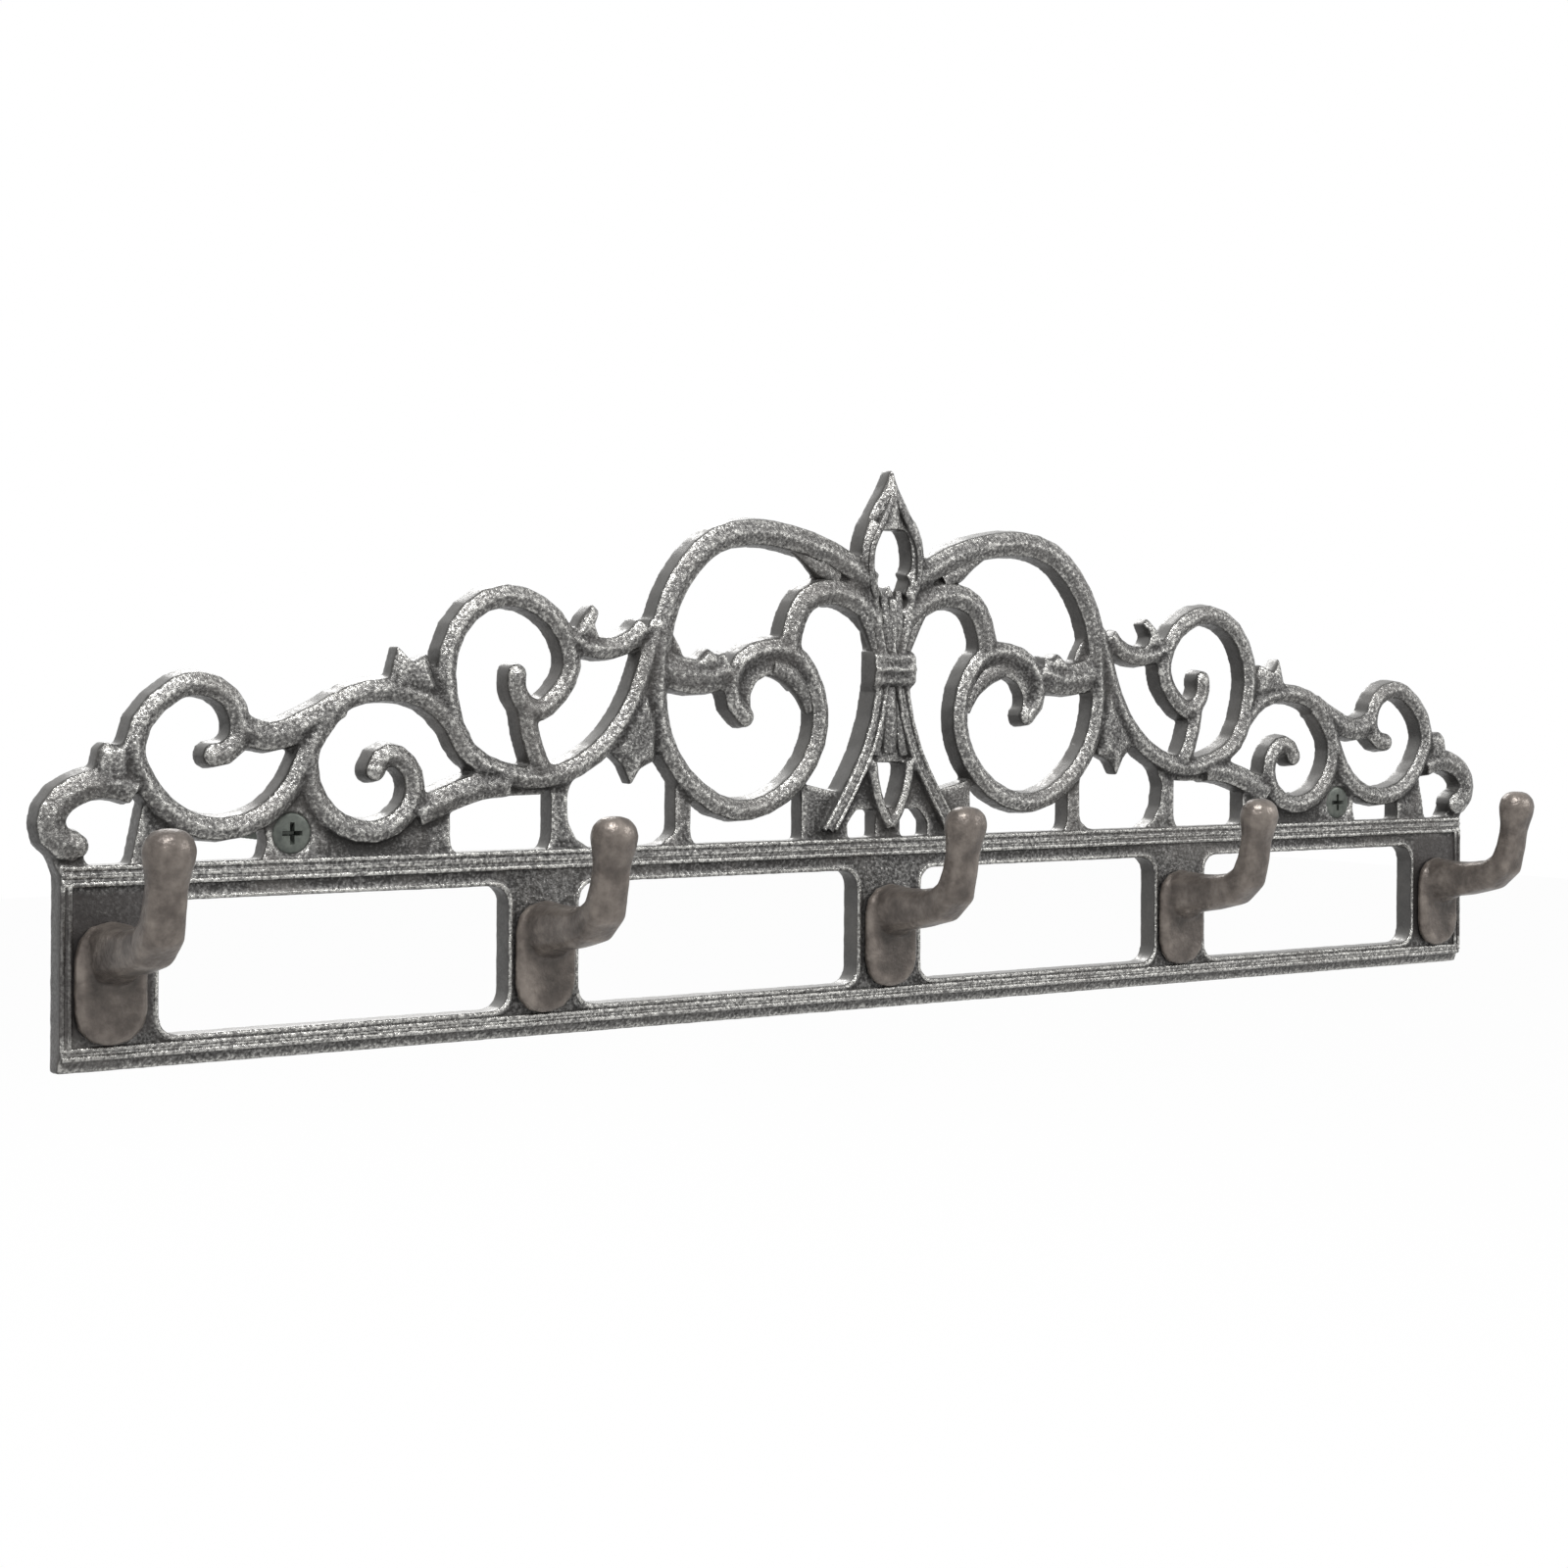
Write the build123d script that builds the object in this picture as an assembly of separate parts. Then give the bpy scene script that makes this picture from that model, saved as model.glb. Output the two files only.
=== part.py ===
from build123d import *
import os
from math import acos, ceil, copysign, cos, pi, radians, sin, sqrt

# Cast-iron key hook rack: a pierced scrollwork plate with a framed lower rail, five hooks tenoned into its
# uprights and two countersunk wall screws. Millimetres. X runs along the rack, Y into the wall and Z up.
# The origin lies on the wall plane, midway between the two screws.

# Frame: two rails and five uprights round four windows
PLATE_WIDTH = 335.0
PANEL_THICK = 4.3
BOTTOM_RAIL = 5.3
WINDOW_HEIGHT = 21.8
TOP_RAIL = 5.7
RAIL_LIP = 0.6
END_UPRIGHT = 16.9
SIDE_UPRIGHT = 14.8
CENTRE_UPRIGHT = 15.9
SIDE_HOOK_X = 78.1
WINDOW_CORNER = 3.0
CORNER_CHORDS = 3

# Mouldings raised on the frame's face
RIM_WIDTH = 1.0
RIM_RISE = 0.4
RIDGE_WIDTH = 0.8
RIDGE_RISE = 0.8
RIDGE_PITCH = 1.1
TOP_RIDGES = 3
EDGE_RIDGES = 2
EDGE_PITCH = 1.2
SILL_HEIGHT = 2.7
SILL_SET_BACK = 1.0

# Scrollwork: strands with drafted sides, widest at the back, and a low gable in front
SCROLL_RISE = 72.1
STRAND_BACK = 1.2
STRAND_SHOULDER = 5.1
STRAND_CREST = 6.1
STRAND_DRAFT = 0.25
STRAND_WIDTH = 4.4
BAND_WIDTH = 5.4
STEM_WIDTH = 7.0
FINE_WIDTH = 2.8
STRUT_WIDTH = 3.6
STRUT_FLARE = 2.2
STRUT_BELL = 3.4
CURL_TIP_RADIUS = 2.3
TIP_FLAT = 0.4
TIP_SIDES = 10
CHORD_SAG = 0.24
LEAF_FRONT = 5.8
LEAF_SHOULDER = 4.4
LEAF_BEVEL = 0.45
WEB_FRONT = 4.0
LEG_BACK = 0.5
LEG_CREST = 5.8
LEG_WIDTH = 1.8

# Collar and finial in the middle
COLLAR_LOW = 29.5
COLLAR_HIGH = 37.0
COLLAR_WIDTH = 10.4
COLLAR_BEVEL = 1.2
COLLAR_FRONT = 6.3
COLLAR_RIDGE = 0.7
SPEAR_SHOULDER = 4.2
SPEAR_WIDTH = 3.8

# Wall screws
SCREW_SPACING = 254.0
SCREW_RISE = 4.7
SCREW_RADIUS = 1.75
SCREW_LENGTH = 25.0
SCREW_POINT = 4.0
HEAD_RADIUS = 3.5
HEAD_SINK = 0.3
CROSS_WIDTH = 0.9
CROSS_SPAN = 4.2
CROSS_DEPTH = 1.4
SCREW_CLEARANCE = 0.25
SCREW_SIDES = 16
POINT_RADIUS = 0.2
BOSS_RIM = 1.5
HEAD_ROOM = 1.0

# Hooks
PAD_WIDTH = 12.4
PAD_HEIGHT = 20.0
PAD_THICK = 2.2
PAD_BEVEL = 1.0
PAD_CORNER = 5.4
PAD_BOTTOM = 4.3
HOOK_REACH = 23.2
HOOK_RISE = 15.7
ARM_DROP = 3.7
TENON_WIDTH = 4.0
TENON_TAIL = 6.0
TENON_TAIL_DEPTH = 1.4
TENON_CLEARANCE = 0.1
HOOK_SIDES = 12
ROOT_WIDTH = 10.8
ROOT_THICK = 12.4
ARM_WIDTH = 8.0
ARM_THICK = 7.6
NECK_WIDTH = 7.0
NECK_THICK = 4.4
KNOB_WIDTH = 9.2
KNOB_THICK = 7.4
# Power of a section's corners: 1 is an ellipse, and less is squarer
OVAL = 1.0
SOFT = 0.8
SQUARE = 0.62

RAIL_TOP = BOTTOM_RAIL + WINDOW_HEIGHT + TOP_RAIL
SCREW_HEIGHT = RAIL_TOP + SCREW_RISE
SEAT_HEIGHT = PAD_BOTTOM + PAD_HEIGHT / 2
SCREW_X = (-SCREW_SPACING / 2, SCREW_SPACING / 2)
END_HOOK_X = PLATE_WIDTH / 2 - END_UPRIGHT / 2
HOOK_X = {
    "hook_far_left": -END_HOOK_X,
    "hook_left": -SIDE_HOOK_X,
    "hook_middle": 0.0,
    "hook_right": SIDE_HOOK_X,
    "hook_far_right": END_HOOK_X,
}

# The scroll pattern is drawn on a sheet of this half width and height above the rail, then placed.
SHEET_HALF = 167.5
SHEET_RISE = 72.1

FORWARD = (0, -1, 0)
INTO_WALL = (0, 1, 0)
ALONG = (1, 0, 0)
UP = (0, 0, 1)


def place(x, z, depth=0.0):
    """Point of the drawing sheet, x out from the middle and z up from the rail, as a point of the plate."""
    return Vector(x * PLATE_WIDTH / 2 / SHEET_HALF, -depth, RAIL_TOP + z * SCROLL_RISE / SHEET_RISE)


def headings(points):
    """Unit heading at each point: that of the circle through it and its two neighbours."""
    inner = []
    for a, b, c in zip(points, points[1:], points[2:]):
        before = b - a
        after = c - b
        ratio = after.length / before.length
        inner.append((before * ratio + after * (1 / ratio)).normalized())
    first = (points[1] - points[0]).normalized()
    last = (points[-1] - points[-2]).normalized()
    if not inner:
        return [first, last]
    start = first * (2 * first.dot(inner[0])) - inner[0]
    end = last * (2 * last.dot(inner[-1])) - inner[-1]
    return [start, *inner, end]


def chords(start, heading, end):
    """Points after start on the arc that leaves it along heading and ends at end, in short chords."""
    chord = end - start
    half_turn = acos(max(-1.0, min(1.0, heading.dot(chord.normalized()))))
    if half_turn < 1e-3:
        return [end]
    radius = chord.length / 2 / sin(half_turn)
    steps = ceil(half_turn / acos(1 - min(CHORD_SAG / radius, 1)))
    edge = TangentArc(start, end, tangent=heading)
    return [edge @ (k / steps) for k in range(1, steps + 1)]


def route(points):
    """Smooth route through points of the drawing sheet: two tangent arcs between neighbours, in chords."""
    placed = [place(x, z) for x, z in points]
    along = headings(placed)
    line = [placed[0]]
    for p, heading_p, q, heading_q in zip(placed, along, placed[1:], along[1:]):
        span = q - p
        both = span.dot(heading_p + heading_q)
        spread = 2 * (1 - heading_p.dot(heading_q))
        if spread < 1e-9:
            reach = span.dot(span) / (4 * span.dot(heading_q))
        else:
            reach = (sqrt(both**2 + spread * span.dot(span)) - both) / spread
        before = p + heading_p * reach
        after = q - heading_q * reach
        joint = (before + after) * 0.5
        line += chords(p, heading_p, joint) + chords(joint, (after - before).normalized(), q)
    return line


def skin(rings):
    """Closed solid of flat facets through rings of as many points each."""
    faces = [Face(Wire.make_polygon(rings[0])), Face(Wire.make_polygon(rings[-1]))]
    for low, high in zip(rings, rings[1:]):
        for k in range(len(low)):
            faces.append(Face(Wire.make_polygon([low[k - 1], low[k], high[k]])))
            faces.append(Face(Wire.make_polygon([low[k - 1], high[k], high[k - 1]])))
    return Solid(Shell(faces))


def round_ring(centre, radius, sides):
    """Points of a circle about a line into the wall through centre."""
    turns = [2 * pi * k / sides for k in range(sides)]
    return [centre + Vector(radius * cos(turn), 0, radius * sin(turn)) for turn in turns]


def soft_corners(width, height, radius):
    """Outline of a rectangle with rounded corners, as points about its centre."""
    points = []
    for k, (side, level) in enumerate(((1, 1), (-1, 1), (-1, -1), (1, -1))):
        for step in range(CORNER_CHORDS + 1):
            turn = pi / 2 * (k + step / CORNER_CHORDS)
            x = side * (width / 2 - radius) + radius * cos(turn)
            z = level * (height / 2 - radius) + radius * sin(turn)
            points.append((x, z))
    return points


def strand(width, points, crest=STRAND_CREST, back=STRAND_BACK, tip=0.0):
    """Strand along a route, with a round tip on its first point where tip gives a radius."""
    path = Polyline(*route(points))
    half = width / 2
    gable = Polygon(
        (back, -half - STRAND_DRAFT),
        (STRAND_SHOULDER, STRAND_DRAFT - half),
        (crest, 0),
        (STRAND_SHOULDER, half - STRAND_DRAFT),
        (back, half + STRAND_DRAFT),
        align=None,
    )
    start = Plane(origin=path @ 0, x_dir=(0, -1, 0), z_dir=path % 0)
    solids = [sweep(start * gable, path=path, transition=Transition.RIGHT)]
    if tip:
        levels = ((back, tip + STRAND_DRAFT), (STRAND_SHOULDER, tip - STRAND_DRAFT), (crest, TIP_FLAT))
        rings = [round_ring(place(*points[0], depth), radius, TIP_SIDES) for depth, radius in levels]
        solids.append(skin(rings))
    return solids


def web(front, *points, back=0.0):
    """Flat web between strands, with its outline on the drawing sheet."""
    outline = [place(x, z) for x, z in points]
    face = Polygon(*[(p.X, p.Z) for p in outline], align=None)
    return extrude(Plane.XZ.offset(back) * face, amount=front - back, dir=FORWARD)


def leaf(*points):
    """Leaf bud with bevelled edges, its outline on the drawing sheet."""
    middle_x = sum(x for x, z in points) / len(points)
    middle_z = sum(z for x, z in points) / len(points)
    crest = [(x + (middle_x - x) * LEAF_BEVEL, z + (middle_z - z) * LEAF_BEVEL) for x, z in points]
    levels = ((STRAND_BACK, points), (LEAF_SHOULDER, points), (LEAF_FRONT, crest))
    return skin([[place(x, z, depth) for x, z in outline] for depth, outline in levels])


def strut(x, top, width=STRUT_WIDTH):
    """Upright strut from the rail to a strand, with a bell-shaped foot."""
    foot = place(x, 0)
    head = place(x, top)
    half = width / 2
    bell = []
    for k in range(CORNER_CHORDS + 1):
        turn = pi / 2 * k / CORNER_CHORDS
        bell.append((half + STRUT_FLARE * (1 - sin(turn)), foot.Z + STRUT_BELL * (1 - cos(turn))))
    side = [(half + STRUT_FLARE, foot.Z - STRUT_FLARE / 2), *bell, (half, head.Z)]
    outline = [(foot.X + reach, z) for reach, z in side]
    outline += [(foot.X - reach, z) for reach, z in reversed(side)]
    return extrude(Plane.XZ * Polygon(*outline, align=None), amount=PANEL_THICK, dir=FORWARD)


def volutes():
    """Scrolls of one half, from the end curl to the big C beside the finial."""
    return [
        *strand(BAND_WIDTH, [(164.8, 3.7), (168.8, 5.7), (168.8, 9.3), (165.2, 12.5), (160, 13.7),
                             (155, 12.5)], tip=CURL_TIP_RADIUS),
        *strand(STRAND_WIDTH, [(141.6, 18), (137.6, 19.8), (136.9, 23.4), (138.9, 27.6), (144, 29.8),
                               (151.6, 26.5), (155.3, 19.7), (152.6, 12.5), (146.3, 7.1), (139.7, 5.8),
                               (132.4, 7.9), (127.3, 12.9), (124.3, 19), (120.5, 24.5)], tip=CURL_TIP_RADIUS),
        *strand(STRAND_WIDTH, [(112, 15.1), (109.3, 17.7), (105.9, 16.1), (104.3, 12.1), (105.9, 7.7),
                               (111.8, 4.6), (118.2, 5.9), (122.6, 9.9), (124.6, 16.3), (122.3, 23.5),
                               (116.8, 27.6), (109.6, 28.9), (102.4, 27.5), (97.2, 23.1), (94, 17.7)],
                tip=CURL_TIP_RADIUS),
        *strand(STRAND_WIDTH, [(84.2, 31.6), (83.8, 28), (80.8, 25.4), (75.4, 28.4), (72.9, 33.3), (74.4, 39),
                               (79.4, 43.8), (86.4, 45.6), (93.7, 42.5), (97.9, 35.5), (97.9, 27.5),
                               (93.8, 17.9), (87, 14.3), (78.6, 13.3), (71.4, 15.3), (64.4, 20.3),
                               (59.4, 27.5), (56.4, 35.5), (54.4, 41.5)], tip=CURL_TIP_RADIUS),
        *strand(BAND_WIDTH, [(4.5, 49.6), (14.8, 55.3), (25, 58.1), (33, 58.8), (41.8, 56.8), (47.3, 52.3),
                             (51.8, 45.5), (53.8, 38.5), (54, 31.5)]),
        *strand(STRAND_WIDTH, [(34.8, 24.1), (38, 29.8), (35.6, 34.5), (30, 36.8), (24.2, 36.4), (19.8, 32.3),
                               (17.3, 25.5), (18, 19.1), (22.4, 12.2), (29.6, 7.6), (36.9, 6.6), (45.4, 10.4),
                               (51.4, 16.9), (54, 24.2), (54.2, 31.5)], tip=CURL_TIP_RADIUS),
    ]


def links():
    """Strands that tie the scrolls of one half to one another and to the collar."""
    return [
        *strand(BAND_WIDTH, [(137, 22.8), (131.5, 20.9), (125.5, 22.8), (118.5, 26.5)]),
        *strand(BAND_WIDTH, [(104, 7.5), (98, 9.9), (91.5, 12), (85.5, 12.6)]),
        *strand(STRAND_WIDTH, [(82.2, 25.5), (80.4, 18), (78.7, 14.5)]),
        *strand(STRAND_WIDTH, [(73, 38.3), (66.8, 36.4), (61.6, 37.3), (57.4, 40.7)]),
        *strand(STEM_WIDTH, [(38.5, 33), (46.8, 31.5), (52.8, 33)]),
        *strand(BAND_WIDTH, [(3.5, 42.5), (10, 47.1), (16, 47.9), (20.8, 46.1), (23.2, 42.5), (24.4, 36.5)]),
        *strand(LEG_WIDTH, [(3.6, 30), (7, 17.5), (11, 10.5), (16.4, 2.2)], back=LEG_BACK, crest=LEG_CREST),
        *strand(LEG_WIDTH, [(1.5, 30), (4.7, 17.5), (8.9, 10), (13.8, 2.2)], back=LEG_BACK, crest=LEG_CREST),
        *strand(FINE_WIDTH, [(2.2, 36), (4.8, 47.5)], back=LEG_BACK),
        *strand(FINE_WIDTH, [(4.6, 15.5), (3.4, 9), (0, 2.6)], back=LEG_BACK, crest=LEG_CREST),
    ]


def leaves():
    """Leaf buds of one half."""
    return [
        leaf((155.5, 13), (155.8, 20.6), (157.8, 19.9), (160.2, 20.4), (161.4, 19.4), (162, 16.6),
             (162.2, 12)),
        leaf((110, 28), (108.8, 33), (107.8, 36.6), (105, 34), (101.8, 35.2), (98.5, 27.5)),
        leaf((73.5, 38), (70.8, 42.4), (68.4, 44.6), (66.8, 43.2), (68.2, 40.6), (66.5, 37)),
        leaf((47.5, 33), (45.2, 35.4), (43.3, 37), (40, 35), (40, 33)),
        leaf((65, 18), (61.8, 15.2), (59.9, 11.4), (57.8, 14.6), (54.5, 16), (53.6, 24), (56.5, 33)),
    ]


def webs():
    """Flat webs and struts of one half, at the depth of the frame."""
    head = Vector(SCREW_SPACING / 2, 0, SCREW_HEIGHT)
    radius = HEAD_RADIUS + BOSS_RIM
    boss = [round_ring(head + Vector(0, -depth, 0), radius, SCREW_SIDES) for depth in (0, PANEL_THICK)]
    return [
        web(WEB_FRONT, (161.6, -1), (167.5, -1), (170, 4.5), (166, 6.5)),
        web(PANEL_THICK, (156, -1), (146.6, -1), (146, 7.5), (153, 13)),
        web(PANEL_THICK, (133, -1), (121, -1), (121, 9), (124, 12), (130, 9.5)),
        web(WEB_FRONT, (122.5, -1), (98.4, -1), (98.4, 7), (103, 9), (112, 5), (118, 7), (122.5, 8)),
        web(WEB_FRONT, (97.5, 10), (78, 10.2), (75, 14), (86, 14), (91.5, 14.6)),
        web(WEB_FRONT, (74, -1), (68.4, -1), (68.6, 0.8), (71, 2.2), (72.6, 5), (73.2, 9.6), (72, 12.4),
            (69.8, 14.8), (74, 15.4)),
        web(WEB_FRONT, (55, -1), (49, -1), (49, 5), (50.4, 2.6), (52.4, 1), (55, 0.6)),
        web(WEB_FRONT, (52, 42), (48.8, 36.8), (47.6, 34), (53, 33), back=STRAND_BACK),
        web(STRAND_SHOULDER, (36, 30), (33.6, 25.4), (33.6, 28.2), (32.2, 30.6), (29.4, 31.9), (25.6, 31),
            (23, 28.6), (21, 30), (24, 35), (30, 36), (36, 34), back=STRAND_BACK),
        web(WEB_FRONT, (19.4, 52.8), (16, 55), (9, 50), (10, 47), (16, 49.4), back=STRAND_BACK),
        web(WEB_FRONT, (21, -1), (9.8, -1), (9.8, 3.4), (7.6, 5.9), (3.4, 5.9), (5, 15), (7, 16), (12, 9.5),
            (21, 11.5)),
        web(WEB_FRONT, (-1, -1), (3.2, -1), (3.2, 4.6), (2, 6.4), (-1, 6.4)),
        skin(boss),
        strut(98.8, 8.0),
        strut(74.9, 13.5),
        strut(48.3, 12.5),
    ]


def finial():
    """Spear head on the collar, open in the middle, with a ridge down its front."""
    side = strand(SPEAR_WIDTH, [(4.4, 47), (6.2, 53.8), (5.7, 58.3), (4, 61.6)])
    rings = []
    for z, half in ((60.2, 6.9), (62, 6.1), (65, 4.3), (69, 1.8), (SHEET_RISE, 0.3)):
        front = SPEAR_SHOULDER + (STRAND_CREST - SPEAR_SHOULDER) * min(1, half / 2)
        rings.append([
            place(-half, z, STRAND_BACK),
            place(-half, z, SPEAR_SHOULDER),
            place(0, z, front),
            place(half, z, SPEAR_SHOULDER),
            place(half, z, STRAND_BACK),
        ])
    return [*side, *mirrored(side), skin(rings)]


def collar():
    """Banded collar with a fluted sheaf above it."""
    low = place(0, COLLAR_LOW)
    high = place(0, COLLAR_HIGH)
    middle = (low.Z + high.Z) / 2
    profile = Polygon(
        (-STRAND_BACK, low.Z),
        (-STRAND_CREST + COLLAR_BEVEL, low.Z),
        (-COLLAR_FRONT, low.Z + COLLAR_BEVEL),
        (-COLLAR_FRONT, middle - COLLAR_RIDGE),
        (-COLLAR_FRONT - COLLAR_RIDGE, middle),
        (-COLLAR_FRONT, middle + COLLAR_RIDGE),
        (-COLLAR_FRONT, high.Z - COLLAR_BEVEL),
        (-STRAND_CREST + COLLAR_BEVEL, high.Z),
        (-STRAND_BACK, high.Z),
        align=None,
    )
    band = extrude(Plane.YZ.offset(-COLLAR_WIDTH / 2) * profile, amount=COLLAR_WIDTH, dir=ALONG)
    return [
        band,
        *strand(FINE_WIDTH, [(0, 36), (0, 47)], back=LEG_BACK),
        web(WEB_FRONT, (-3.6, 30), (3.6, 30), (6.4, 15), (-6.4, 15)),
        web(WEB_FRONT, (-3.6, 36), (3.6, 36), (5.4, 45.6), (2.4, 46.4), (0, 49.6), (-2.4, 46.4),
            (-5.4, 45.6)),
    ]


def mirrored(solids):
    """The same solids on the other side of the middle."""
    return [mirror(solid, Plane.YZ) for solid in solids]


def windows():
    """Centre, width and height of the four openings of the frame."""
    inner = (CENTRE_UPRIGHT / 2, SIDE_HOOK_X - SIDE_UPRIGHT / 2)
    outer = (SIDE_HOOK_X + SIDE_UPRIGHT / 2, PLATE_WIDTH / 2 - END_UPRIGHT)
    spans = []
    for low, high in (inner, outer):
        spans += [((low + high) / 2, high - low), (-(low + high) / 2, high - low)]
    return spans


def frame():
    """Lower frame with its windows, window rims, sill and ridges."""
    top = RAIL_TOP + RAIL_LIP
    slab = extrude(Plane.XZ * Pos(0, top / 2) * Rectangle(PLATE_WIDTH, top), amount=PANEL_THICK)
    set_back = SILL_SET_BACK - PANEL_THICK
    sill = Polygon((-PANEL_THICK, 0), (-PANEL_THICK, SILL_HEIGHT), (set_back, 0), align=None)
    slab -= extrude(Plane.YZ.offset(-PLATE_WIDTH / 2) * sill, amount=PLATE_WIDTH, dir=ALONG)
    middle = BOTTOM_RAIL + WINDOW_HEIGHT / 2
    raised = []
    for x, width in windows():
        opening = Polygon(*soft_corners(width, WINDOW_HEIGHT, WINDOW_CORNER), align=None)
        rim_height = WINDOW_HEIGHT + 2 * RIM_WIDTH
        rim = Polygon(*soft_corners(width + 2 * RIM_WIDTH, rim_height, WINDOW_CORNER + RIM_WIDTH), align=None)
        slab -= extrude(Plane.XZ * Pos(x, middle) * opening, amount=PANEL_THICK)
        face = Plane.XZ.offset(PANEL_THICK) * Pos(x, middle)
        raised.append(extrude(face * (rim - opening), amount=RIM_RISE))
    ridge = Polygon(
        (-PANEL_THICK, -RIDGE_WIDTH / 2),
        (-PANEL_THICK - RIDGE_RISE, 0),
        (-PANEL_THICK, RIDGE_WIDTH / 2),
        align=None,
    )
    heights = [top - RIDGE_WIDTH / 2 - k * RIDGE_PITCH for k in range(TOP_RIDGES)]
    heights.append(SILL_HEIGHT + RIDGE_WIDTH / 2)
    for height in heights:
        line = Plane.YZ.offset(-PLATE_WIDTH / 2) * Pos(0, height) * ridge
        raised.append(extrude(line, amount=PLATE_WIDTH, dir=ALONG))
    for side in (-1, 1):
        for k in range(EDGE_RIDGES):
            centre = side * (PLATE_WIDTH / 2 - RIDGE_WIDTH / 2 - k * EDGE_PITCH)
            upright = Polygon(
                (centre - RIDGE_WIDTH / 2, -PANEL_THICK),
                (centre, -PANEL_THICK - RIDGE_RISE),
                (centre + RIDGE_WIDTH / 2, -PANEL_THICK),
                align=None,
            )
            length = heights[TOP_RIDGES - 1] - SILL_HEIGHT
            raised.append(extrude(Plane.XY.offset(SILL_HEIGHT) * upright, amount=length, dir=UP))
    return slab.fuse(*raised)


def tenon(x, clearance=0.0):
    """Square tenon behind a hook's pad, its tail spread flush with the plate's back."""
    rings = []
    for depth, width in ((0, TENON_TAIL), (TENON_TAIL_DEPTH, TENON_WIDTH), (PANEL_THICK, TENON_WIDTH)):
        half = width / 2 + clearance
        corners = ((half, half), (-half, half), (-half, -half), (half, -half))
        rings.append([Vector(x + dx, -depth, SEAT_HEIGHT + dz) for dx, dz in corners])
    return skin(rings)


def screw(x, clearance=0.0):
    """Wall screw: countersunk head and faceted neck in the plate, round shank and point in the wall."""
    seat = PANEL_THICK - HEAD_SINK
    neck = seat - (HEAD_RADIUS - SCREW_RADIUS)
    tip = SCREW_LENGTH - seat
    radius = SCREW_RADIUS + clearance
    axis = Vector(x, 0, SCREW_HEIGHT)
    head = skin([
        round_ring(axis + Vector(0, -seat, 0), HEAD_RADIUS + clearance, SCREW_SIDES),
        round_ring(axis + Vector(0, -neck, 0), radius, SCREW_SIDES),
        round_ring(axis, radius, SCREW_SIDES),
    ])
    shank = extrude(Plane.XZ * Pos(x, SCREW_HEIGHT) * Circle(radius), amount=tip - SCREW_POINT, dir=INTO_WALL)
    point = skin([
        round_ring(axis + Vector(0, tip - SCREW_POINT, 0), radius, SCREW_SIDES),
        round_ring(axis + Vector(0, tip, 0), POINT_RADIUS, SCREW_SIDES),
    ])
    return head.fuse(shank, point)


def scroll_plate():
    """The whole casting, with holes for the screws and the hooks' tenons."""
    half = [*volutes(), *links(), *leaves(), *webs()]
    plate = frame().fuse(*half, *mirrored(half), *finial(), *collar())
    holes = []
    for x in SCREW_X:
        holes.append(screw(x, SCREW_CLEARANCE))
        head_room = [PANEL_THICK - HEAD_SINK, STRAND_CREST + HEAD_ROOM]
        holes.append(skin([
            round_ring(Vector(x, -depth, SCREW_HEIGHT), HEAD_RADIUS + SCREW_CLEARANCE, SCREW_SIDES)
            for depth in head_room
        ]))
    holes += [tenon(x, TENON_CLEARANCE) for x in HOOK_X.values()]
    return plate.cut(*holes)


def wall_screws():
    """Both wall screws, each with a cross recess in its head."""
    screws = []
    for x in SCREW_X:
        cross = Rectangle(CROSS_SPAN, CROSS_WIDTH) + Rectangle(CROSS_WIDTH, CROSS_SPAN)
        floor = Plane.XZ.offset(PANEL_THICK - HEAD_SINK - CROSS_DEPTH) * Pos(x, SCREW_HEIGHT)
        screws.append(screw(x) - extrude(floor * cross, amount=CROSS_DEPTH, dir=FORWARD))
    return Compound(children=screws)


def arm_sections():
    """Sections of the arm and knob: depth and height of centre, tilt, width, thickness, power of corners."""
    root = PANEL_THICK
    reach = root + HOOK_REACH
    level = PAD_BOTTOM + PAD_HEIGHT - ARM_DROP
    top = level + HOOK_RISE
    return [
        (root + 0.5, level - 2.2, 0, ROOT_WIDTH, ROOT_THICK, OVAL),
        (root + 3.0, level - 1.4, 0, (ROOT_WIDTH + ARM_WIDTH) / 2, (ROOT_THICK + ARM_THICK) / 2, SOFT),
        (root + 6.5, level - 0.8, 0, ARM_WIDTH + 0.5, ARM_THICK + 0.6, SQUARE),
        (root + 11.5, level - 0.3, 6, ARM_WIDTH, ARM_THICK, SQUARE),
        (reach - 6.2, level + 0.8, 18, ARM_WIDTH - 0.2, ARM_THICK - 0.6, SQUARE),
        (reach - 2.8, level + 3.4, 48, (ARM_WIDTH + NECK_WIDTH) / 2, (ARM_THICK + NECK_THICK) / 2, SQUARE),
        (reach - 1.5, level + 7.4, 78, NECK_WIDTH, NECK_THICK + 0.5, SQUARE),
        (reach - 0.9, top - 5.2, 83, NECK_WIDTH, NECK_THICK, SQUARE),
        (reach - 0.4, top - 3.2, 85, NECK_WIDTH + 0.6, NECK_THICK + 1, SOFT),
        (reach - 0.1, top - 1.2, 87, KNOB_WIDTH * 0.95, KNOB_THICK * 0.92, OVAL),
        (reach, top + 0.6, 90, KNOB_WIDTH, KNOB_THICK, OVAL),
        (reach, top + 2.4, 90, KNOB_WIDTH * 0.88, KNOB_THICK * 0.88, OVAL),
        (reach, top + 3.6, 90, KNOB_WIDTH * 0.6, KNOB_THICK * 0.6, OVAL),
        (reach, top + 4.0, 90, KNOB_WIDTH * 0.28, KNOB_THICK * 0.28, OVAL),
    ]


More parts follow.
